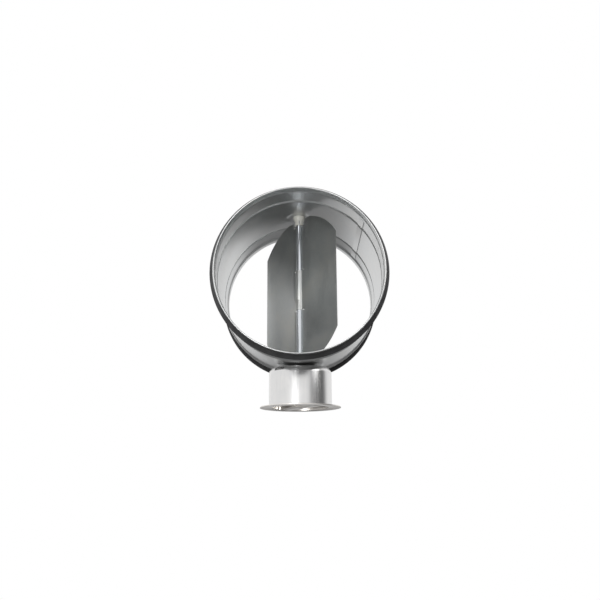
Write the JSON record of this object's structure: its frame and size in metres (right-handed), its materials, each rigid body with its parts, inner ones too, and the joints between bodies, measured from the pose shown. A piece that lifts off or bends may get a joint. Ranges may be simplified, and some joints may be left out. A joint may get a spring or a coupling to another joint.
{
  "type": "airflow limiter",
  "caption": "Round sheet-metal airflow limiter for ventilation ducts: casing with sealing lips at both ends, turning blade on an upright shaft, and a disc handle held off by a cup.",
  "frame": {"origin": "where the shaft's axis crosses the axis of the duct", "axes": "+Y along the duct from the front end to the rear end, +Z along the shaft away from the handle, X across the duct"},
  "size_m": [0.2088, 0.183, 0.2541],
  "materials": {
    "galvanised_sheet": "hot-dip galvanised sheet steel",
    "blade_sheet": "galvanised sheet steel, duller",
    "drawn_cup_steel": "drawn galvanised steel",
    "handle_steel": "pressed galvanised steel",
    "shaft_steel": "bright zinc-plated rod",
    "plated_small_parts": "zinc-plated steel",
    "spring_steel": "phosphated spring steel",
    "die_cast_zinc": "plain die-cast zinc",
    "natural_plastic": "natural moulded polyamide",
    "epdm_rubber": "black EPDM rubber"
  },
  "bodies": {
    "housing": {"casing": "galvanised_sheet", "front_gasket": "epdm_rubber", "rear_gasket": "epdm_rubber", "upper_bush": "natural_plastic", "lower_bush": "natural_plastic", "shaft_seal": "epdm_rubber", "stand_off_cup": "drawn_cup_steel", "cup_rivets": "plated_small_parts"},
    "damper": {"blade": "blade_sheet", "shaft": "shaft_steel", "retaining_ring": "spring_steel", "wave_spring": "spring_steel", "thrust_washer": "plated_small_parts", "stop_lever": "plated_small_parts", "handle_hub": "die_cast_zinc", "handle_disc": "handle_steel", "handle_screw": "plated_small_parts"}
  },
  "joints": [
    {"name": "blade_turn", "type": "hinge", "parent": "housing", "child": "damper", "pos_m": [0, 0, 0], "axis": [0, 0, 1], "range_deg": [-35, 55]}
  ]
}
